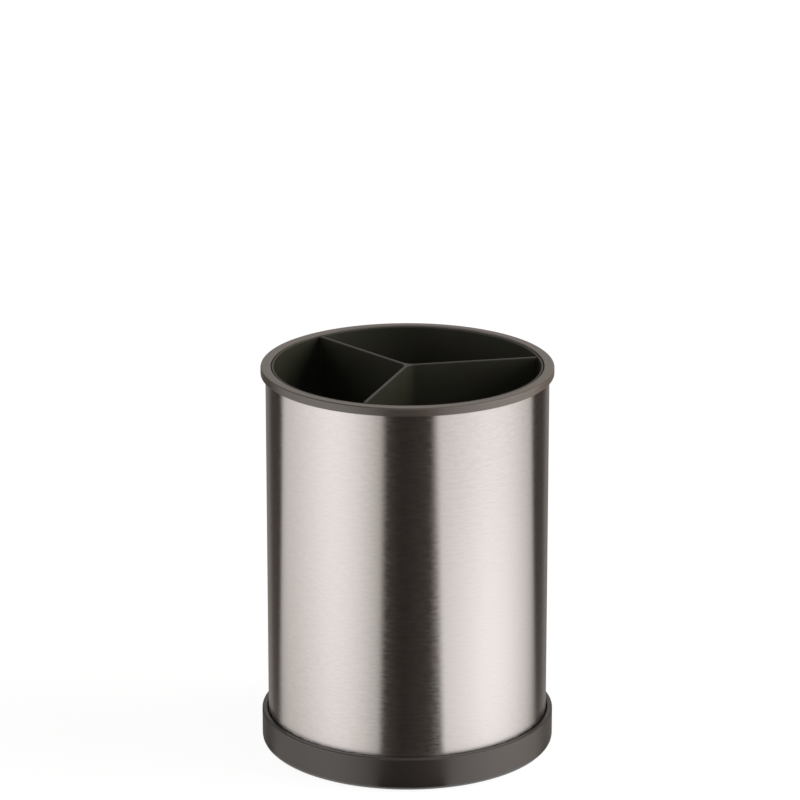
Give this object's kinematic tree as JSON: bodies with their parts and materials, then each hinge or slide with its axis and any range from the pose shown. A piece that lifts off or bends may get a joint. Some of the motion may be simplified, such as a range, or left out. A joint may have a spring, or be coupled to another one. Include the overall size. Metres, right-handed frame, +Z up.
{
  "type": "utensil crock",
  "caption": "Round kitchen utensil crock: brushed steel can with dark plastic rim, turning on a dark base, with a lift-out black liner and a lift-out three-way divider.",
  "frame": {"origin": "on the floor, on the crock's axis of rotation", "axes": "+Z up along the axis, -Y towards the viewer of the picture, +X to that viewer's right"},
  "size_m": [0.1516, 0.1516, 0.2044],
  "materials": {
    "brushed_steel": "fine brushing round the sleeve",
    "dark_plastic": "warm dark grey, satin moulded",
    "black_plastic": "black, satin moulded",
    "natural_plastic": "natural white, moulded",
    "rubber": "soft, matte",
    "polished_steel": "polished",
    "zinc_plated": "bright zinc"
  },
  "bodies": {
    "base": {"base_tray": "dark_plastic", "foot_pads": "rubber", "pivot_screw": "zinc_plated", "pivot_washer": "zinc_plated"},
    "cage": {"ball_cage": "natural_plastic", "bearing_balls": "polished_steel"},
    "can": {"turn_plate": "black_plastic", "can_base": "black_plastic", "plate_screws": "zinc_plated", "steel_sleeve": "brushed_steel", "rim_ring": "dark_plastic"},
    "liner": {"liner": "black_plastic"},
    "divider": {"divider": "black_plastic"}
  },
  "joints": [
    {"name": "turntable_spin", "type": "hinge", "parent": "base", "child": "can", "pos_m": [0, 0, 0], "axis": [0, 0, 1], "continuous": true},
    {"name": "cage_spin", "type": "hinge", "parent": "base", "child": "cage", "pos_m": [0, 0, 0], "axis": [0, 0, 1], "continuous": true},
    {"name": "liner_lift", "type": "slide", "parent": "can", "child": "liner", "axis": [0, 0, 1], "range_m": [0, 0.19]},
    {"name": "divider_lift", "type": "slide", "parent": "liner", "child": "divider", "axis": [0, 0, 1], "range_m": [0, 0.185]}
  ],
  "couplings": [
    {"joint": "cage_spin", "follows": "turntable_spin", "ratio": 0.5}
  ]
}
